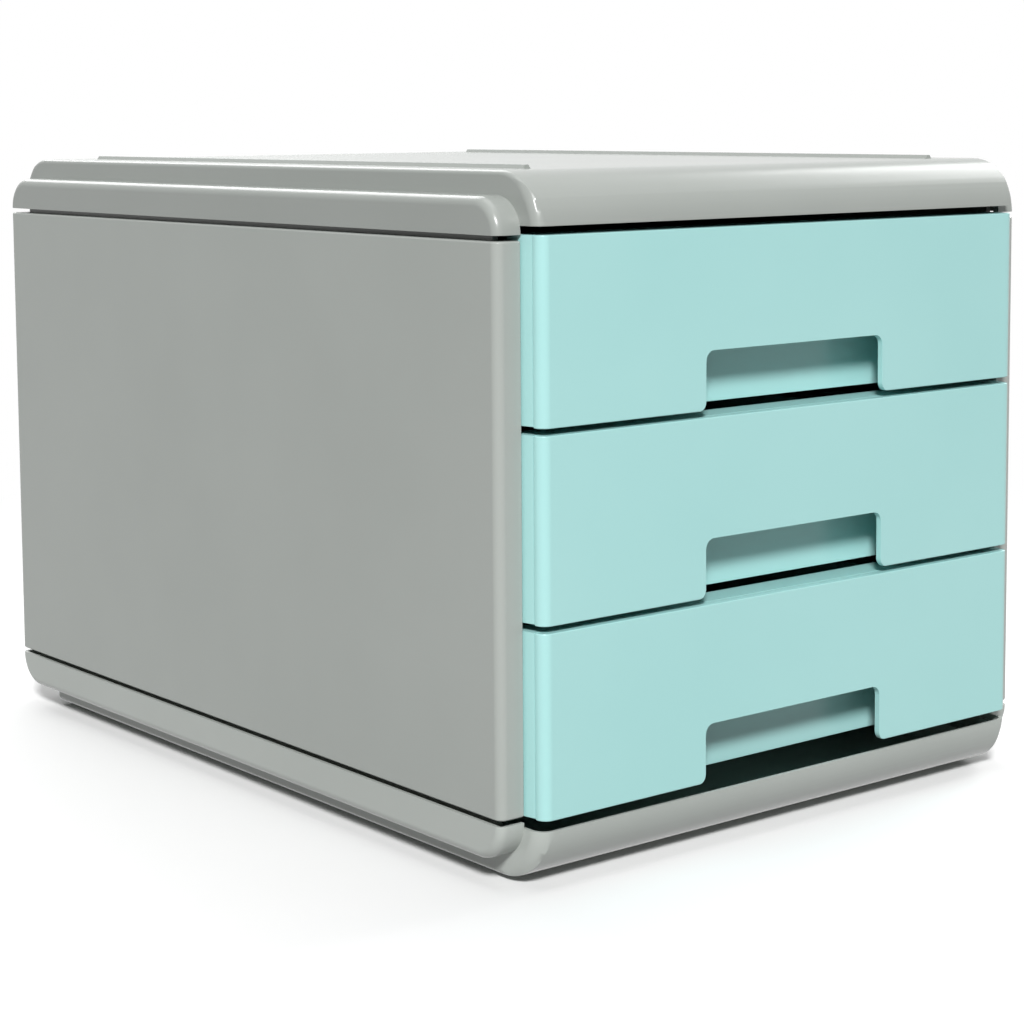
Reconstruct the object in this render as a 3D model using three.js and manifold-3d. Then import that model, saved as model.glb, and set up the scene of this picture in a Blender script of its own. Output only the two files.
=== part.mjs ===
// Desk unit with three sliding drawers: a grey moulded housing and turquoise drawers.
// Millimetres. The front faces -y, +z is up, and the origin lies under the middle of the unit.
import * as THREE from 'three';
import { mergeVertices } from 'three/addons/utils/BufferGeometryUtils.js';
import Module from 'manifold-3d';

const wasm = await Module();
wasm.setup();

// Housing
const bodyWidth = 277;
const panelDepth = 367;
const panelHeight = 206.5;
const sideInset = 10.9; // centre bands and drawers lie this far in from the side faces
const frontStep = 9.4; // centre bands and drawer fronts stand this far ahead of the side panels
const rearStep = 7.5; // the cover's centre band stands this far behind the side panels
const seamGap = 2; // shadow groove between a side panel and the cover or base
const housingWall = 2.8;
const fit = 0.3; // clearance between pieces that seat on each other
const overrun = 2; // how far a cutting block reaches past what it cuts

// Cover
const coverBandHeight = 13.65;
const coverHeight = 22.4;
const coverBandRadius = 13.4;
const coverCrownRadius = 21.6;
const coverLipLift = 3.2; // the front lip ends this far above the band's lower edge
const stackRibHeight = 1.5;
const stackRibFoot = 3.6; // width on the cover
const stackRibCrest = 1.6; // width along the top
const stackRibInset = 30.9;
const stackRibFrontSetback = 21;
const stackRibRearSetback = 31.5;

// Base
const baseBandHeight = 14.35;
const baseHeight = 22.55;
const baseBandRadius = 14.2;
const baseCrownRadius = 22.3;
const baseLipDrop = 2.2;
const baseTailSetback = 14; // the lowest layer stops this far ahead of the panels' rear edges
const baseTailEase = 0.6; // the tail's edge is rounder than the crisp edges by this
const rimThickness = 1.6; // the upper rims are thinned from inside
const rimDepth = 2.5;

// Edges of the bands. A centre band is crisp along its sides and rounder at its corners.
const bandEdgeRadius = 3.5;
const crownEdgeRadius = 1.8;
const coverCornerRadius = 4.4;
const baseCornerRadius = 6.5;
const cornerFade = 4.5; // how far beyond the crown the rounder corners run out

// Stiffening ribs across the inside of the cover and base
const webThickness = 2;
const webHeight = 9;
const webRows = 3;

// Tongue on the cover and base, and its slot in the ends of a side panel
const tongueInset = 5.5; // from the side face
const tongueThickness = 2.4;
const tongueReach = 5;
const tongueEndSetback = 9;
const panelEndWall = 8;

// Side panels and back
const panelWall = 2.6;
const panelEdgeRadius = 3.6; // upright edges
const panelRimRadius = 0.7; // edges along the grooves
const panelRibDepth = 2.2;
const panelRibWidth = 2.4;
const panelRibs = 4;
const backThickness = 2.6;
const backTuck = 4.8; // how far the back panel reaches behind a side panel's rear return
const backRise = 5.5; // how far the back panel's middle reaches up into the cover

// Feet
const footRadius = 7.3;
const footProud = 2;
const footSeat = 1;
const footEdge = 0.8;
const footSideInset = 42;
const footEndInset = 46;

// Drawers
const drawerCount = 3;
const bottomReveal = 3.9; // from the base's lip to the bottom front
const topReveal = 3.1; // from the top front to the cover's lip
const frontGap = 2.5;
const frontSideGap = 0.5;

// Drawer front
const faceThickness = 2.4;
const capInset = 1; // cap's sides in from the hood's widest part
const capCornerRadius = 4.1; // upright edges
const capSkirt = 0.6; // straight side behind the rounded edge
const capRimRadius = 0.5; // upper and lower edges
const capWall = 2.2;
const notchWidth = 95;
const notchHeight = 22.5;
const notchTopRadius = 4;
const notchFlareRadius = 3.6;
const tabThickness = 1.6;
const tabHeight = 8;
const tabReach = 7; // how far a tab enters the tray's hood
const tabLowShare = 0.27;
const tabHighShare = 0.75;

// Drawer tray
const fingerDepth = 15.4; // from the face of the front to the tray's front wall
const trayLift = 1.1; // tray's underside above the front's lower edge
const hoodStep = 0.6; // hood's lower edge above the front's lower edge
const trayWall = 2.2;
const trayRearSetback = 21; // tray's rear wall ahead of the panels' rear edges
const trayDrop = 15.3; // tray's rim below the front's upper edge
const trayCornerRadius = 6;
const trayFloorRadius = 3;

// Running lips, stop ears and rails
const lipInset = 3.2; // lip's edge in from the front's side
const lipThickness = 2.2;
const earLength = 12;
const earRearSetback = 4; // ear's rear end ahead of the tray's rear wall
const earReach = 2.6;
const railDepth = 18.4; // from the panel's inner face to the ledge's edge
const railClear = 1.6; // between a tray's side and the rail's ledge
const railFrontGap = 1.8; // between the tray's front wall and the rail's front end
const railRearSetback = 12;
const railWeb = 2;
const railLedge = 2.4;
const railGuide = 2;
const guideClear = 0.8;
const guideWidth = 11;
const stopSetback = 69.5; // from the rail's front end to the stop, which leaves 250 of travel
const stopLength = 5;
const studRadius = 2.5;
const studDepth = 1.2;
const studFrontShare = 0.12;
const studRearShare = 0.88;

// Smoothness of the round forms
const crownSteps = 8;
const edgeSteps = 4;
const uprightSteps = 6;
const cornerSteps = 3;
const rimSteps = 2;
const studSides = 10;
const footSides = 20;
const leastRadius = 0.5;
const weld = 0.0001;

// Places that the sizes above give
const sideX = bodyWidth / 2;
const crownX = sideX - sideInset;
const frontY = -(frontStep + panelDepth + rearStep) / 2;
const panelFrontY = frontY + frontStep;
const panelRearY = panelFrontY + panelDepth;
const rearY = panelRearY + rearStep;
const baseZ = footProud;
const baseTopZ = baseZ + baseHeight;
const panelBottomZ = baseTopZ + seamGap;
const panelTopZ = panelBottomZ + panelHeight;
const coverBottomZ = panelTopZ + seamGap;
const coverTopZ = coverBottomZ + coverHeight;
const baseLipZ = baseTopZ - baseLipDrop;
const baseTailRadius = crownEdgeRadius + baseTailEase;
const coverLipZ = coverBottomZ + coverLipLift;
const pocketX = sideX - panelWall;

const frontsSpan = coverLipZ - topReveal - baseLipZ - bottomReveal;
const frontHeight = (frontsSpan - (drawerCount - 1) * frontGap) / drawerCount;
const drawerPitch = frontHeight + frontGap;
const firstDrawerZ = baseLipZ + bottomReveal;
const drawerX = crownX - frontSideGap;
const capX = drawerX - capInset;
const capDepth = capCornerRadius + capSkirt;
const hoodY = frontY + capDepth + fit;
const trayFrontY = frontY + fingerDepth;
const trayRearY = panelRearY - trayRearSetback;
const trayTopZ = frontHeight - trayDrop;
const lipX = drawerX - lipInset;
const lipBottomZ = trayTopZ - lipThickness;

const railFrontY = trayFrontY + trayWall + railFrontGap;
const railRearY = panelRearY - housingWall - railRearSetback;
const railOuterX = pocketX - fit;
const railWebX = railOuterX - railWeb;
const ledgeX = railOuterX - railDepth;
const trayX = ledgeX - railClear;
const ledgeTopZ = lipBottomZ - fit;
const ledgeBottomZ = ledgeTopZ - railLedge;
const guideBottomZ = trayTopZ + guideClear;
const guideTopZ = guideBottomZ + railGuide;
const guideX = railOuterX - guideWidth;
const earFrontY = trayRearY - earRearSetback - earLength;
const stopRearY = railFrontY + stopSetback;
const studZ = (ledgeBottomZ + guideTopZ) / 2;
const railLength = railRearY - railFrontY;
const studYs = [studFrontShare, studRearShare].map((share) => railFrontY + share * railLength);

const grey = { color: 0xabb0aa, roughness: 0.38, metalness: 0 };
const turquoise = { color: 0xa6d9d4, roughness: 0.34, metalness: 0 };
const rubber = { color: 0x2c2e2d, roughness: 0.85, metalness: 0 };

// Solids are joined and cut as closed meshes whose shared points are merged
function solid(geometry) {
  const bare = new THREE.BufferGeometry();
  bare.setAttribute('position', geometry.getAttribute('position'));
  bare.setIndex(geometry.getIndex());
  const merged = mergeVertices(bare, weld);
  return new wasm.Manifold(new wasm.Mesh({
    numProp: 3,
    vertProperties: new Float32Array(merged.getAttribute('position').array),
    triVerts: new Uint32Array(merged.getIndex().array),
  }));
}

function piece(name, form, finish) {
  const { vertProperties, triVerts } = form.getMesh();
  const geometry = new THREE.BufferGeometry();
  geometry.setAttribute('position', new THREE.BufferAttribute(vertProperties, 3));
  geometry.setIndex(new THREE.BufferAttribute(triVerts, 1));
  geometry.computeVertexNormals();
  const mesh = new THREE.Mesh(geometry, new THREE.MeshStandardMaterial(finish));
  mesh.name = name;
  return mesh;
}

function block(xs, ys, zs) {
  const spans = [xs, ys, zs].map(([from, to]) => Math.abs(to - from));
  const middles = [xs, ys, zs].map(([from, to]) => (from + to) / 2);
  return solid(new THREE.BoxGeometry(...spans).translate(...middles));
}

function joined(forms) {
  return forms.reduce((whole, form) => whole.add(form));
}

// An outline in y and z, swept along x, with its ends rounded by edge
function barAlongX(outline, halfWidth, edge, steps) {
  const geometry = new THREE.ExtrudeGeometry(outline, {
    depth: 2 * (halfWidth - edge),
    curveSegments: steps,
    bevelEnabled: edge > 0,
    bevelThickness: edge,
    bevelSize: edge,
    bevelOffset: -edge,
    bevelSegments: edgeSteps,
  });
  geometry.translate(0, 0, edge - halfWidth);
  geometry.rotateX(Math.PI / 2).rotateZ(Math.PI / 2);
  return solid(geometry);
}

// An outline in x and z, swept along y from one place to another
function barAlongY(outline, ys, steps) {
  const geometry = new THREE.ExtrudeGeometry(outline, {
    depth: Math.abs(ys[1] - ys[0]),
    curveSegments: steps,
    bevelEnabled: false,
  });
  return solid(geometry.rotateX(Math.PI / 2).translate(0, Math.max(...ys), 0));
}

// A plan raised from one height to another
function prism(plan, zs) {
  const geometry = new THREE.ExtrudeGeometry(plan, {
    depth: zs[1] - zs[0],
    curveSegments: cornerSteps,
    bevelEnabled: false,
  });
  return solid(geometry.translate(0, 0, zs[0]));
}

// A plan raised to a height, with its upper and lower edges rounded
function rimmed(plan, height, rim) {
  const geometry = new THREE.ExtrudeGeometry(plan, {
    depth: height - 2 * rim,
    curveSegments: uprightSteps,
    bevelThickness: rim,
    bevelSize: rim,
    bevelOffset: -rim,
    bevelSegments: rimSteps,
  });
  return solid(geometry.translate(0, 0, rim));
}

// A round rod along x or y between two places
function rod(radius, sides, from, to) {
  const start = new THREE.Vector3(...from);
  const along = new THREE.Vector3(...to).sub(start);
  const geometry = new THREE.CylinderGeometry(radius, radius, along.length(), sides);
  const turn = new THREE.Quaternion();
  turn.setFromUnitVectors(new THREE.Vector3(0, 1, 0), along.clone().normalize());
  geometry.applyQuaternion(turn);
  return solid(geometry.translate(...start.addScaledVector(along, 1 / 2)));
}

// A band's side outline: flat crown, quarter-round front and rear corners, open root.
// The crown lies above the root on the cover and below it on the base.
function bandOutline(front, rear, root, crown, frontRadius, rearRadius) {
  const up = Math.sign(crown - root);
  const outline = new THREE.Shape();
  outline.moveTo(front, root);
  outline.lineTo(front, crown - up * frontRadius);
  const quarter = (up * Math.PI) / 2;
  outline.absarc(front + frontRadius, crown - up * frontRadius, frontRadius, Math.PI, quarter, up > 0);
  outline.absarc(rear - rearRadius, crown - up * rearRadius, rearRadius, quarter, 0, up > 0);
  outline.lineTo(rear, root);
  return outline;
}

// A centre band: crisp along its sides, its corners trimmed by a rounder bar that reaches further
function crownBar(ys, root, crown, radii, cornerRadius) {
  const beyond = crown + Math.sign(crown - root) * cornerFade;
  const trimRadius = radii[0] + cornerFade;
  const band = barAlongX(
    bandOutline(...ys, root, crown, ...radii), crownX, crownEdgeRadius, crownSteps);
  const trim = barAlongX(
    bandOutline(ys[0], rearY, root, beyond, trimRadius, trimRadius), crownX, cornerRadius, crownSteps);
  return band.intersect(trim);
}

// Stiffening webs across the unit, under a ceiling or over a floor
function webs(xReach, ys, zs) {
  const forms = [];
  for (let row = 1; row <= webRows; row += 1) {
    const y = ys[0] + ((ys[1] - ys[0]) * row) / (webRows + 1);
    forms.push(block([-xReach, xReach], [y - webThickness / 2, y + webThickness / 2], zs));
  }
  return joined(forms);
}

// A tongue on each side that enters the end slot of the side panel
function tongues(rootZ, tipZ) {
  const outerX = sideX - tongueInset;
  const ys = [panelFrontY + tongueEndSetback, panelRearY - tongueEndSetback];
  return joined([-1, 1].map((side) => block(
    [side * outerX, side * (outerX - tongueThickness)], ys, [rootZ, tipZ])));
}

function stackRib(side) {
  const low = coverTopZ - housingWall / 2;
  const high = coverTopZ + stackRibHeight;
  const x = side * (sideX - stackRibInset);
  const foot = stackRibFoot / 2;
  const crest = stackRibCrest / 2;
  const corners = [[x - foot, low], [x + foot, low], [x + foot, coverTopZ],
    [x + crest, high], [x - crest, high], [x - foot, coverTopZ]];
  const outline = new THREE.Shape(corners.map((corner) => new THREE.Vector2(...corner)));
  return barAlongY(outline,
    [panelFrontY + stackRibFrontSetback, panelRearY - stackRibRearSetback], cornerSteps);
}

// Cover: low outer band under a raised centre band, hollow from below
function coverForm() {
  const root = coverBottomZ - coverCrownRadius;
  const bandTopZ = coverBottomZ + coverBandHeight;
  const band = barAlongX(
    bandOutline(panelFrontY, panelRearY, root, bandTopZ, coverBandRadius, coverBandRadius),
    sideX, bandEdgeRadius, crownSteps);
  const crown = crownBar([frontY, rearY], root, coverTopZ,
    [coverCrownRadius, coverCrownRadius], coverCornerRadius);
  const bandHollow = barAlongX(
    bandOutline(panelFrontY + housingWall, panelRearY - housingWall, root, bandTopZ - housingWall,
      coverBandRadius - housingWall, coverBandRadius - housingWall),
    sideX - housingWall, 0, cornerSteps);
  const crownHollow = barAlongX(
    bandOutline(frontY + housingWall, rearY - housingWall, root, coverTopZ - housingWall,
      coverCrownRadius - housingWall, coverCrownRadius - housingWall),
    crownX - housingWall, 0, cornerSteps);
  const ceilingZ = coverTopZ - housingWall;
  const skinMiddle = barAlongX(
    bandOutline(frontY + housingWall / 2, rearY - housingWall / 2, root, coverTopZ - housingWall / 2,
      coverCrownRadius - housingWall / 2, coverCrownRadius - housingWall / 2),
    crownX - housingWall / 2, 0, crownSteps);
  // keeper web that stands just ahead of the back panel
  const keeperY = panelRearY - housingWall - fit - backThickness - fit;
  const keeper = block([-crownX, crownX], [keeperY - webThickness, keeperY],
    [coverLipZ + fit, coverTopZ]);
  const inner = webs(crownX, [frontY, rearY], [ceilingZ - webHeight, coverTopZ])
    .add(keeper).intersect(skinMiddle);
  const below = block([-sideX - overrun, sideX + overrun], [frontY - overrun, rearY + overrun],
    [root - overrun, coverBottomZ]);
  const underLip = block([-crownX - overrun, crownX + overrun],
    [frontY - overrun, panelFrontY], [root - overrun, coverLipZ]);
  const insideLip = block([-crownX, crownX], [frontY, panelFrontY + coverBandRadius],
    [root - overrun, coverLipZ]);
  return band.add(crown)
    .subtract(bandHollow).subtract(crownHollow)
    .subtract(below).subtract(underLip).subtract(insideLip)
    .add(inner)
    .add(tongues(bandTopZ - housingWall / 2, panelTopZ - tongueReach))
    .add(stackRib(-1)).add(stackRib(1));
}

// Base: the cover's form turned over, its lowest layer short of the rear, hollow from above
function baseForm() {
  const root = baseTopZ + baseCrownRadius;
  const bandLowZ = baseTopZ - baseBandHeight;
  const tailY = panelRearY - baseTailSetback;
  const band = barAlongX(
    bandOutline(panelFrontY, panelRearY, root, bandLowZ, baseBandRadius, baseBandRadius),
    sideX, bandEdgeRadius, crownSteps);
  const crown = crownBar([frontY, tailY], root, baseZ,
    [baseCrownRadius, baseTailRadius], baseCornerRadius);
  const bandHollow = barAlongX(
    bandOutline(panelFrontY + housingWall, panelRearY - housingWall, root, bandLowZ + housingWall,
      baseBandRadius - housingWall, baseBandRadius - housingWall),
    sideX - housingWall, 0, cornerSteps);
  const crownHollow = barAlongX(
    bandOutline(frontY + housingWall, tailY - housingWall, root, baseZ + housingWall,
      baseCrownRadius - housingWall, Math.max(baseTailRadius - housingWall, leastRadius)),
    crownX - housingWall, 0, cornerSteps);
  const floorZ = baseZ + housingWall;
  const skinMiddle = barAlongX(
    bandOutline(frontY + housingWall / 2, tailY - housingWall / 2, root, baseZ + housingWall / 2,
      baseCrownRadius - housingWall / 2, Math.max(baseTailRadius - housingWall / 2, leastRadius)),
    crownX - housingWall / 2, 0, crownSteps);
  const inner = webs(crownX, [frontY, tailY], [baseZ, floorZ + webHeight]).intersect(skinMiddle);
  const above = block([-sideX - overrun, sideX + overrun], [frontY - overrun, rearY + overrun],
    [baseTopZ, root + overrun]);
  const overLip = block([-crownX - overrun, crownX + overrun],
    [frontY - overrun, panelFrontY], [baseLipZ, root + overrun]);
  const insideLip = block([-crownX, crownX],
    [panelFrontY - overrun, panelFrontY + baseBandRadius], [baseLipZ, root]);
  const sideRims = block([rimThickness - sideX, sideX - rimThickness],
    [panelFrontY + rimThickness, panelRearY - rimThickness], [baseTopZ - rimDepth, root]);
  const frontRim = prism(roundedPlan(crownX - rimThickness, frontY + rimThickness,
    panelFrontY + baseBandRadius, baseCornerRadius - rimThickness), [baseLipZ - rimDepth, root]);
  const seats = footPlaces().map(([x, y]) => rod(footRadius + fit, footSides,
    [x, y, baseZ - overrun], [x, y, baseZ + footSeat]));
  return band.add(crown)
    .subtract(bandHollow).subtract(crownHollow)
    .subtract(above).subtract(overLip).subtract(insideLip)
    .subtract(sideRims).subtract(frontRim)
    .add(inner)
    .add(tongues(bandLowZ + housingWall / 2, panelBottomZ + tongueReach))
    .subtract(joined(seats));
}

function footPlaces() {
  const x = sideX - footSideInset;
  const ys = [panelFrontY + footEndInset, panelRearY - footEndInset];
  return ys.flatMap((y) => [[-x, y], [x, y]]);
}

function footForm() {
  const height = footProud + footSeat - fit;
  const profile = [
    new THREE.Vector2(0, 0),
    new THREE.Vector2(footRadius - footEdge, 0),
    new THREE.Vector2(footRadius, footEdge),
    new THREE.Vector2(footRadius, height),
    new THREE.Vector2(0, height),
  ];
  return solid(new THREE.LatheGeometry(profile, footSides).rotateX(Math.PI / 2));
}

// Side panel: a shallow shell that opens inwards, with slotted ends, ribs and stud seats
function panelForm(side) {
  const outline = new THREE.Shape();
  const r = panelEdgeRadius;
  outline.moveTo(side * crownX, panelFrontY);
  outline.lineTo(side * (sideX - r), panelFrontY);
  outline.absarc(side * (sideX - r), panelFrontY + r, r, -Math.PI / 2, side > 0 ? 0 : Math.PI, side < 0);
  outline.absarc(side * (sideX - r), panelRearY - r, r, side > 0 ? 0 : Math.PI, Math.PI / 2, side < 0);
  outline.lineTo(side * crownX, panelRearY);
  const shell = rimmed(outline, panelHeight, panelRimRadius).translate(0, 0, panelBottomZ);

  const pocketZs = [panelBottomZ + panelEndWall, panelTopZ - panelEndWall];
  const pocketYs = [panelFrontY + housingWall, panelRearY - housingWall];
  const pocket = block([side * pocketX, side * (crownX - overrun)], pocketYs, pocketZs);
  const slotX = sideX - tongueInset;
  const slotXs = [side * (slotX + fit), side * (slotX - tongueThickness - fit)];
  const slotYs = [panelFrontY + tongueEndSetback - fit, panelRearY - tongueEndSetback + fit];
  const slotDepth = tongueReach + fit;
  const slots = [[panelBottomZ - overrun, panelBottomZ + slotDepth],
    [panelTopZ - slotDepth, panelTopZ + overrun]].map((zs) => block(slotXs, slotYs, zs));

  const ribs = [];
  for (let rib = 1; rib <= panelRibs; rib += 1) {
    const y = pocketYs[0] + ((pocketYs[1] - pocketYs[0]) * rib) / (panelRibs + 1);
    ribs.push(block([side * (pocketX + panelWall / 2), side * (pocketX - panelRibDepth)],
      [y - panelRibWidth / 2, y + panelRibWidth / 2], pocketZs));
  }
  const railSeats = [];
  const studSeats = [];
  for (let level = 0; level < drawerCount; level += 1) {
    const z = firstDrawerZ + level * drawerPitch;
    railSeats.push(block([side * pocketX, side * (crownX - overrun)], pocketYs,
      [z + ledgeBottomZ - fit, z + guideTopZ + fit]));
    studYs.forEach((y) => studSeats.push(rod(studRadius + fit / 2, studSides,
      [side * (railOuterX - overrun), y, z + studZ],
      [side * (railOuterX + studDepth + fit), y, z + studZ])));
  }
  return shell.subtract(pocket).subtract(joined(slots))
    .add(joined(ribs).subtract(joined(railSeats)))
    .subtract(joined(studSeats));
}

// Back panel, tucked behind the side panels' rear returns, its middle reaching up into the cover
function backForm() {
  const ys = [panelRearY - housingWall - fit - backThickness, panelRearY - housingWall - fit];
  const tiers = [
    [crownX + backTuck, panelBottomZ + panelEndWall + fit, panelTopZ - panelEndWall - fit],
    [crownX - fit, baseTopZ + fit, coverBottomZ - fit],
    [crownX - housingWall - fit, baseTopZ + fit, coverBottomZ + backRise],
  ];
  return joined(tiers.map(([x, low, high]) => block([-x, x], ys, [low, high])));
}

// Rail: a channel whose ledge carries the tray's lip, with a guide above it and a stop inside it
function railForm(side) {
  const corners = [
    [railOuterX, ledgeBottomZ],
    [ledgeX, ledgeBottomZ],
    [ledgeX, ledgeTopZ],
    [railWebX, ledgeTopZ],
    [railWebX, guideBottomZ],
    [guideX, guideBottomZ],
    [guideX, guideTopZ],
    [railOuterX, guideTopZ],
  ];
  const outline = new THREE.Shape(corners.map(([x, z]) => new THREE.Vector2(side * x, z)));
  const channel = barAlongY(outline, [railFrontY, railRearY], cornerSteps);
  const stop = block([side * (lipX + guideClear), side * (railWebX + railWeb / 2)],
    [stopRearY - stopLength, stopRearY], [ledgeTopZ - railLedge / 2, guideBottomZ + railGuide / 2]);
  const studs = studYs.map((y) => rod(studRadius, studSides,
    [side * (railOuterX - railWeb / 2), y, studZ], [side * (railOuterX + studDepth), y, studZ]));
  return joined([channel, stop, ...studs]);
}

// Tabs behind the front that press inside the sides of its tray's hood
function tabs() {
  const outerX = capX - capWall - fit;
  return joined([tabLowShare, tabHighShare].flatMap((share) => [-1, 1].map((side) => block(
    [side * outerX, side * (outerX - tabThickness)],
    [frontY + faceThickness / 2, hoodY + tabReach],
    [share * frontHeight - tabHeight / 2, share * frontHeight + tabHeight / 2]))));
}

// Show front: a cap with rounded upright edges, open below, and the finger notch in its lower edge
function frontForm() {
  const r = capCornerRadius;
  const plan = new THREE.Shape();
  plan.moveTo(-capX, frontY + capDepth);
  plan.lineTo(-capX, frontY + r);
  plan.absarc(-capX + r, frontY + r, r, Math.PI, (3 * Math.PI) / 2, false);
  plan.absarc(capX - r, frontY + r, r, (3 * Math.PI) / 2, 2 * Math.PI, false);
  plan.lineTo(capX, frontY + capDepth);
  const cap = rimmed(plan, frontHeight, capRimRadius);
  const hollow = block([capWall - capX, capX - capWall],
    [frontY + faceThickness, frontY + capDepth + overrun], [-overrun, frontHeight - capWall]);

  const w = notchWidth / 2;
  const t = notchTopRadius;
  const f = notchFlareRadius;
  const notch = new THREE.Shape();
  notch.moveTo(-w - f, -overrun);
  notch.lineTo(-w - f, 0);
  notch.absarc(-w - f, f, f, -Math.PI / 2, 0, false);
  notch.absarc(-w + t, notchHeight - t, t, Math.PI, Math.PI / 2, true);
  notch.absarc(w - t, notchHeight - t, t, Math.PI / 2, 0, true);
  notch.absarc(w + f, f, f, Math.PI, (3 * Math.PI) / 2, false);
  notch.lineTo(w + f, -overrun);
  return cap.subtract(hollow)
    .subtract(barAlongY(notch, [frontY - overrun, frontY + capDepth + overrun], cornerSteps))
    .add(tabs());
}

function roundedPlan(halfX, fromY, toY, radius) {
  const plan = new THREE.Shape();
  plan.absarc(halfX - radius, toY - radius, radius, 0, Math.PI / 2, false);
  plan.absarc(radius - halfX, toY - radius, radius, Math.PI / 2, Math.PI, false);
  plan.absarc(radius - halfX, fromY + radius, radius, Math.PI, (3 * Math.PI) / 2, false);
  plan.absarc(halfX - radius, fromY + radius, radius, (3 * Math.PI) / 2, 2 * Math.PI, false);
  return plan;
}

// A bin with rounded corners and floor edges, from floorZ up past topZ
function bin(plan, floorZ, topZ, floorRadius) {
  const geometry = new THREE.ExtrudeGeometry(plan, {
    depth: topZ + overrun - floorZ,
    curveSegments: cornerSteps,
    bevelEnabled: true,
    bevelThickness: floorRadius,
    bevelSize: floorRadius,
    bevelOffset: -floorRadius,
    bevelSegments: rimSteps,
  });
  return solid(geometry.translate(0, 0, floorZ + floorRadius));
}

// The hood in plan: as wide as the cap where they meet, flaring to the drawer's full width
function hoodPlan(wall) {
  const half = [[capX - wall, hoodY - overrun], [capX - wall, hoodY],
    [drawerX - wall, panelFrontY], [drawerX - wall, trayFrontY + trayWall + overrun]];
  const corners = [...half, ...half.map(([x, y]) => [-x, y]).reverse()];
  return new THREE.Shape(corners.map((corner) => new THREE.Vector2(...corner)));
}

// Tray: open bin, hooded front wall, running lips and stop ears
function trayForm() {
  const outside = bin(roundedPlan(trayX, trayFrontY, trayRearY, trayCornerRadius),
    trayLift, trayTopZ, trayFloorRadius);
  const inside = bin(
    roundedPlan(trayX - trayWall, trayFrontY + trayWall, trayRearY - trayWall,
      trayCornerRadius - trayWall),
    trayLift + trayWall, trayTopZ + frontHeight, trayFloorRadius);
  const above = block([-trayX - overrun, trayX + overrun],
    [trayFrontY - overrun, trayRearY + overrun], [trayTopZ, trayTopZ + frontHeight]);
  const wallYs = [trayFrontY, trayFrontY + trayWall];
  const frontWall = block([-drawerX, drawerX], wallYs, [trayLift, frontHeight]);
  const hood = prism(hoodPlan(0), [hoodStep, frontHeight])
    .subtract(prism(hoodPlan(capWall), [hoodStep - overrun, frontHeight - capWall]))
    .intersect(block([-drawerX, drawerX], [hoodY, wallYs[1]], [hoodStep, frontHeight]));
  const lips = [-1, 1].map((side) => block([side * (trayX - trayWall / 2), side * lipX],
    [trayFrontY, trayRearY - trayCornerRadius], [lipBottomZ, trayTopZ]));
  const ears = [-1, 1].map((side) => block([side * (trayX - trayWall / 2), side * (lipX + earReach)],
    [earFrontY, earFrontY + earLength], [lipBottomZ, trayTopZ]));
  const rearLip = block([trayCornerRadius - trayX, trayX - trayCornerRadius],
    [trayRearY - trayWall / 2, trayRearY + lipThickness], [lipBottomZ, trayTopZ]);
  return outside.subtract(above)
    .add(joined([frontWall, hood, ...lips, ...ears, rearLip]))
    .subtract(inside);
}

const unit = new THREE.Group();
unit.add(piece('top_cover', coverForm(), grey));
unit.add(piece('base', baseForm(), grey));
unit.add(piece('back_panel', backForm(), grey));

const foot = footForm();
['front_left', 'front_right', 'rear_left', 'rear_right'].forEach((corner, index) => {
  const mesh = piece(`${corner}_foot`, foot, rubber);
  const [x, y] = footPlaces()[index];
  mesh.position.set(x, y, 0);
  unit.add(mesh);
});

const front = frontForm();
const tray = trayForm();
const levels = ['bottom', 'middle', 'top'];
const sides = { left: -1, right: 1 };
Object.entries(sides).forEach(([sideName, side]) => {
  unit.add(piece(`${sideName}_side_panel`, panelForm(side), grey));
  const rail = railForm(side);
  levels.forEach((level, index) => {
    const mesh = piece(`${sideName}_runner_${level}`, rail, grey);
    mesh.position.z = firstDrawerZ + index * drawerPitch;
    unit.add(mesh);
  });
});
levels.forEach((level, index) => {
  const drawer = new THREE.Group();
  drawer.position.z = firstDrawerZ + index * drawerPitch;
  drawer.add(piece(`${level}_tray`, tray, turquoise));
  drawer.add(piece(`${level}_front`, front, turquoise));
  unit.add(drawer);
});

export default unit;
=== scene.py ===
import math
import bpy
from mathutils import Matrix, Vector

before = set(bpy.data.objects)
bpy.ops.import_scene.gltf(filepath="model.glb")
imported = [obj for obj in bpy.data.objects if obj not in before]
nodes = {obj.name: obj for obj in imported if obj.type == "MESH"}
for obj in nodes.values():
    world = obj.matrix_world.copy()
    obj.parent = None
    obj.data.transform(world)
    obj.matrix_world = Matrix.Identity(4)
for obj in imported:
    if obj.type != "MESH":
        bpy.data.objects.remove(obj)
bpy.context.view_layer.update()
print("frame loaded:", len(nodes), "solids")


# camera at the photo's viewing angle: places in metres, turns in degrees, lens in millimetres
cameraFacts = {"place": (-0.64425, -0.82561, 0.27721), "yaw": 38.554, "pitch": 5.715, "roll": -0.39,
               "lens": 83.074, "shift": -0.158, "clip": (0.02, 60)}


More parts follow.
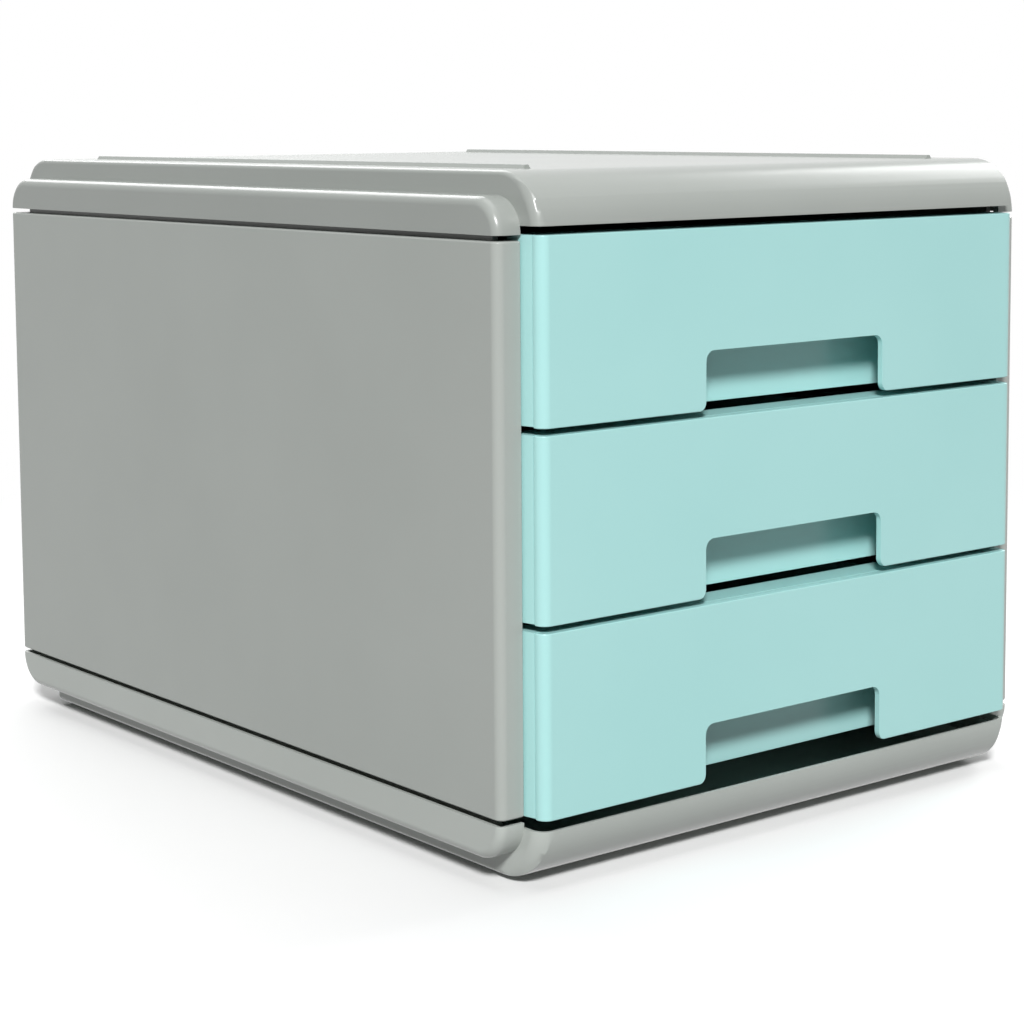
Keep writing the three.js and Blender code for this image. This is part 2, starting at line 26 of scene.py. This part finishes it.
def addCamera(facts):
    yaw, pitch, roll = (math.radians(facts[key]) for key in ("yaw", "pitch", "roll"))
    ahead = Vector((math.sin(yaw) * math.cos(pitch), math.cos(yaw) * math.cos(pitch), -math.sin(pitch)))
    level = Vector((math.cos(yaw), -math.sin(yaw), 0))
    upward = level.cross(ahead)
    right = level * math.cos(roll) + upward * math.sin(roll)
    up = upward * math.cos(roll) - level * math.sin(roll)
    data = bpy.data.cameras.new("photoCamera")
    data.lens = facts["lens"]
    data.shift_y = facts["shift"]
    data.clip_start, data.clip_end = facts["clip"]
    camera = bpy.data.objects.new("photoCamera", data)
    turn = Matrix((right, up, -ahead)).transposed().to_4x4()
    camera.matrix_world = Matrix.Translation(facts["place"]) @ turn
    bpy.context.scene.collection.objects.link(camera)
    bpy.context.scene.camera = camera


addCamera(cameraFacts)
print("camera set")


# a material starts as an empty tree
def newTree(name):
    material = bpy.data.materials.new(name)
    material.use_nodes = True
    tree = material.node_tree
    tree.nodes.clear()
    return material, tree


# adds a node; each input takes a plain value or the output that feeds it
def add(tree, kind, inputs=None, **settings):
    node = tree.nodes.new("ShaderNode" + kind)
    for key, value in settings.items():
        setattr(node, key, value)
    for socket, source in (inputs or {}).items():
        if isinstance(source, bpy.types.NodeSocket):
            tree.links.new(source, node.inputs[socket])
        else:
            node.inputs[socket].default_value = source
    return node


# how rich each noise is, and the middle range of it that is used
noiseFacts = {"cloudDetail": 3.0, "cloudRoughness": 0.55, "cloudRange": (0.32, 0.68),
              "grainDetail": 2.0, "grainRoughness": 0.6, "grainRange": (0.3, 0.7), "waveDetail": 1.0}


# even colour with faint flow clouds, a slightly uneven gloss and a fine moulded skin; a tone other than 1 makes
# a lighter or darker copy of the colour, which is painted light or painted shade
def mouldedPlastic(name, facts, tone=1.0):
    material, tree = newTree(name)
    place = add(tree, "TexCoord").outputs["Object"]
    clouds = add(tree, "TexNoise", {"Vector": place, "Scale": facts["cloudScale"],
                                    "Detail": noiseFacts["cloudDetail"],
                                    "Roughness": noiseFacts["cloudRoughness"]})
    grain = add(tree, "TexNoise", {"Vector": place, "Scale": facts["grainScale"],
                                   "Detail": noiseFacts["grainDetail"],
                                   "Roughness": noiseFacts["grainRoughness"]})
    waves = add(tree, "TexNoise", {"Vector": place, "Scale": facts["waveScale"],
                                   "Detail": noiseFacts["waveDetail"]})
    shade = add(tree, "ValToRGB", {"Fac": clouds.outputs["Fac"]})
    colours = (facts["darkColour"], facts["lightColour"])
    for stop, share, colour in zip(shade.color_ramp.elements, noiseFacts["cloudRange"], colours):
        stop.position = share
        # the tone scales the colour: painted light above 1, painted shade below 1
        stop.color = (*(tone * channel for channel in colour), 1)
    lowGrain, highGrain = noiseFacts["grainRange"]
    gloss = add(tree, "MapRange", {"Value": grain.outputs["Fac"], "From Min": lowGrain, "From Max": highGrain,
                                   "To Min": facts["gloss"][0], "To Max": facts["gloss"][1]})
    ripple = add(tree, "Bump", {"Height": waves.outputs["Fac"], "Strength": 1.0,
                                "Distance": facts["waveDepth"]})
    skin = add(tree, "Bump", {"Height": grain.outputs["Fac"], "Normal": ripple.outputs["Normal"],
                              "Strength": 1.0, "Distance": facts["grainDepth"]})
    shader = add(tree, "BsdfPrincipled", {
        "Base Color": shade.outputs["Color"], "Roughness": gloss.outputs["Result"],
        "Normal": skin.outputs["Normal"], "IOR": facts["ior"]})
    add(tree, "OutputMaterial", {"Surface": shader.outputs["BSDF"]})
    return material


# what grey and turquoise mouldings share: sizes of clouds, grain and waves as counts to the metre, depths in
# metres, and the roughness range, which stays under 0.27, because above it the noise filter leaves dots
polystyreneFacts = {"cloudScale": 9.0, "gloss": (0.245, 0.27), "grainScale": 900.0, "grainDepth": 0.0000003,
                    "waveScale": 14.0, "waveDepth": 0.0001, "ior": 1.46}
# the cover's tone makes its copy of the grey 15% darker, a painted shade, and the base's tone makes its copy
# 18% lighter, a painted light, both standing in for how the light falls on them
greyFacts = {**polystyreneFacts, "darkColour": (0.352, 0.376, 0.354), "lightColour": (0.372, 0.396, 0.374),
             "coverPaintedShade": 0.85, "basePaintedLight": 1.18}
turquoiseFacts = {**polystyreneFacts, "darkColour": (0.372, 0.665, 0.65), "lightColour": (0.392, 0.685, 0.67)}
# the panels and back get the plain grey; the cover's copy is painted shade and the base's copy painted light
housingGrey = mouldedPlastic("housingGrey", greyFacts)
coverShadedGrey = mouldedPlastic("coverShadedGrey", greyFacts, greyFacts["coverPaintedShade"])
baseLitGrey = mouldedPlastic("baseLitGrey", greyFacts, greyFacts["basePaintedLight"])
drawerTurquoise = mouldedPlastic("drawerTurquoise", turquoiseFacts)

# black rubber of the feet, made the same way with a coarser, duller skin
rubberFacts = {"darkColour": (0.018, 0.018, 0.018), "lightColour": (0.03, 0.03, 0.03), "cloudScale": 60.0,
               "gloss": (0.6, 0.8), "grainScale": 1400.0, "grainDepth": 0.00003,
               "waveScale": 40.0, "waveDepth": 0.0001, "ior": 1.46}
footRubber = mouldedPlastic("footRubber", rubberFacts)
print("materials made")


# how each solid is cleaned, rounded and shaded: metres, degrees, and steps in a rounded edge
edgeFacts = {"weld": 0.000002, "flatAngle": 0.5, "roundedAngle": 40, "roundSteps": 3, "crispAngle": 34,
             "flatWeight": 60}


# an empty geometry group with its input and output
def newGeometryGroup(name):
    group = bpy.data.node_groups.new(name, "GeometryNodeTree")
    group.interface.new_socket("Geometry", in_out="INPUT", socket_type="NodeSocketGeometry")
    group.interface.new_socket("Geometry", in_out="OUTPUT", socket_type="NodeSocketGeometry")
    return group, group.nodes.new("NodeGroupInput"), group.nodes.new("NodeGroupOutput")


# drops the shading stored with the solid, before its edges are rounded
def plainShading():
    group, start, end = newGeometryGroup("plainShading")
    last = start.outputs[0]
    for name in ("custom_normal", "sharp_edge", "sharp_face"):
        drop = group.nodes.new("GeometryNodeRemoveAttribute")
        drop.inputs["Name"].default_value = name
        group.links.new(last, drop.inputs["Geometry"])
        last = drop.outputs["Geometry"]
    group.links.new(last, end.inputs[0])
    return group


# edges sharper than the limit stay crisp, all others shade softly
def edgeShading():
    group, start, end = newGeometryGroup("edgeShading")
    angle = group.nodes.new("GeometryNodeInputMeshEdgeAngle")
    limit = group.nodes.new("FunctionNodeCompare")
    limit.data_type, limit.operation = "FLOAT", "GREATER_THAN"
    limit.inputs[1].default_value = math.radians(edgeFacts["crispAngle"])
    soft = group.nodes.new("GeometryNodeSetShadeSmooth")
    soft.domain = "FACE"
    crisp = group.nodes.new("GeometryNodeSetShadeSmooth")
    crisp.domain = "EDGE"
    crisp.inputs["Shade Smooth"].default_value = False
    group.links.new(start.outputs[0], soft.inputs["Geometry"])
    group.links.new(soft.outputs[0], crisp.inputs["Geometry"])
    group.links.new(angle.outputs["Unsigned Angle"], limit.inputs[0])
    group.links.new(limit.outputs[0], crisp.inputs["Selection"])
    group.links.new(crisp.outputs[0], end.inputs[0])
    return group


plainStart, softEdges = plainShading(), edgeShading()


def finishNode(name, material, edgeRadius):
    node = nodes[name]
    node.data.materials.clear()
    node.data.materials.append(material)
    node.modifiers.new("plain", "NODES").node_group = plainStart
    weld = node.modifiers.new("weld", "WELD")
    weld.merge_threshold = edgeFacts["weld"]
    flats = node.modifiers.new("flats", "DECIMATE")
    flats.decimate_type = "DISSOLVE"
    flats.angle_limit = math.radians(edgeFacts["flatAngle"])
    bevel = node.modifiers.new("edges", "BEVEL")
    bevel.width = edgeRadius
    bevel.segments = edgeFacts["roundSteps"]
    bevel.limit_method = "ANGLE"
    bevel.angle_limit = math.radians(edgeFacts["roundedAngle"])
    node.modifiers.new("shading", "NODES").node_group = softEdges
    even = node.modifiers.new("even", "WEIGHTED_NORMAL")
    even.keep_sharp = True
    even.weight = edgeFacts["flatWeight"]


housingFacts = {"edgeRadius": 0.0005, "pieces": {
    "top_cover": coverShadedGrey, "base": baseLitGrey, "back_panel": housingGrey,
    "left_side_panel": housingGrey, "right_side_panel": housingGrey}}
for name, material in housingFacts["pieces"].items():
    finishNode(name, material, housingFacts["edgeRadius"])
print("housing finished")

runnerFacts = {"edgeRadius": 0.0003, "material": housingGrey}
for name in nodes:
    if "runner" in name:
        finishNode(name, runnerFacts["material"], runnerFacts["edgeRadius"])
print("runners finished")

footFacts = {"edgeRadius": 0.0003, "material": footRubber}
for name in nodes:
    if name.endswith("_foot"):
        finishNode(name, footFacts["material"], footFacts["edgeRadius"])
print("feet finished")

drawerFacts = {"levels": ("bottom", "middle", "top"), "material": drawerTurquoise,
               "frontEdge": 0.0005, "trayEdge": 0.0004}
for level in drawerFacts["levels"]:
    finishNode(level + "_front", drawerFacts["material"], drawerFacts["frontEdge"])
    finishNode(level + "_tray", drawerFacts["material"], drawerFacts["trayEdge"])
print("drawers finished")


# pale round floor that keeps the object's shadow and turns into the white surroundings towards its rim: metres,
# and its colour as it is seen and as it sends light back onto the object
floorFacts = {"reach": 0.95, "sides": 96, "colour": 0.86, "bounce": 0.35, "fadeFrom": 0.3, "fadeTo": 0.75}


# 1 for the rays that gloss or glass sends out, so that both show the white background too
def mirroredRays(tree, rays):
    either = add(tree, "Math", {0: rays.outputs["Is Glossy Ray"], 1: rays.outputs["Is Transmission Ray"]},
                 operation="MAXIMUM")
    return either.outputs[0]


def addFloor(facts):
    material, tree = newTree("paleFloor")
    place = add(tree, "TexCoord").outputs["Object"]
    far = add(tree, "VectorMath", {0: place}, operation="LENGTH")
    fade = add(tree, "MapRange", {"Value": far.outputs["Value"], "From Min": facts["fadeFrom"],
                                  "From Max": facts["fadeTo"]}, interpolation_type="SMOOTHSTEP")
    rays = add(tree, "LightPath")
    viewed = add(tree, "Math", {0: rays.outputs["Is Camera Ray"], 1: fade.outputs["Result"]},
                 operation="MULTIPLY")
    share = add(tree, "Math", {0: viewed.outputs[0], 1: mirroredRays(tree, rays)}, operation="MAXIMUM")
    tone = add(tree, "MapRange", {"Value": rays.outputs["Is Diffuse Ray"], "To Min": facts["colour"],
                                  "To Max": facts["bounce"]})
    matt = add(tree, "BsdfDiffuse", {"Color": tone.outputs["Result"]})
    glow = add(tree, "Emission", {"Color": (1, 1, 1, 1), "Strength": 1.0})
    both = add(tree, "MixShader", {0: share.outputs[0], 1: matt.outputs[0], 2: glow.outputs[0]})
    add(tree, "OutputMaterial", {"Surface": both.outputs[0]})
    mesh = bpy.data.meshes.new("floor")
    turns = [math.tau * i / facts["sides"] for i in range(facts["sides"])]
    rim = [(facts["reach"] * math.cos(turn), facts["reach"] * math.sin(turn), 0) for turn in turns]
    mesh.from_pydata(rim, [], [list(range(len(rim)))])
    mesh.materials.append(material)
    floor = bpy.data.objects.new("floor", mesh)
    bpy.context.scene.collection.objects.link(floor)


addFloor(floorFacts)
print("floor laid")

# white surroundings for the camera and for gloss, and the faint fill that they throw on the object
surroundings = {"fill": 0.05, "seen": 1.0}


def addSurroundings(facts):
    world = bpy.data.worlds.new("surroundings")
    bpy.context.scene.world = world
    world.use_nodes = True
    tree = world.node_tree
    tree.nodes.clear()
    rays = add(tree, "LightPath")
    seen = add(tree, "Math", {0: rays.outputs["Is Camera Ray"], 1: mirroredRays(tree, rays)},
               operation="MAXIMUM")
    level = add(tree, "MapRange", {"Value": seen.outputs[0], "To Min": facts["fill"],
                                   "To Max": facts["seen"]})
    sky = add(tree, "Background", {"Color": (1, 1, 1, 1), "Strength": level.outputs["Result"]})
    add(tree, "OutputWorld", {"Surface": sky.outputs[0]})


addSurroundings(surroundings)

# square soft lamps, all aimed at one height over the floor: degrees from the front (negative to the left),
# height angle, distance, size, and light level at the object, where 1 shows a surface that faces the lamp in
# its own colour
aimHeight = 0.12
lamps = {
    "keyLamp": {"azimuth": -39, "height": 35, "distance": 5.0, "size": 0.8, "level": 1.2},
    "overheadLamp": {"azimuth": 0, "height": 89, "distance": 2.4, "size": 1.6, "level": 0.24},
    "rearLamp": {"azimuth": 165, "height": 38, "distance": 3.0, "size": 1.8, "level": 0.4},
    "rightLamp": {"azimuth": 95, "height": 28, "distance": 3.0, "size": 1.6, "level": 0.5},
}


def addLamp(name, facts):
    azimuth, height = math.radians(facts["azimuth"]), math.radians(facts["height"])
    away = Vector((math.sin(azimuth) * math.cos(height), -math.cos(azimuth) * math.cos(height),
                   math.sin(height)))
    data = bpy.data.lights.new(name, "AREA")
    data.shape = "SQUARE"
    data.size = facts["size"]
    data.energy = facts["level"] * (math.pi * facts["distance"]) ** 2
    lamp = bpy.data.objects.new(name, data)
    lamp.location = Vector((0, 0, aimHeight)) + away * facts["distance"]
    lamp.rotation_euler = away.to_track_quat("Z", "Y").to_euler()
    bpy.context.scene.collection.objects.link(lamp)


for name, facts in lamps.items():
    addLamp(name, facts)
bpy.context.scene.view_settings.view_transform = "Standard"
print("studio set")
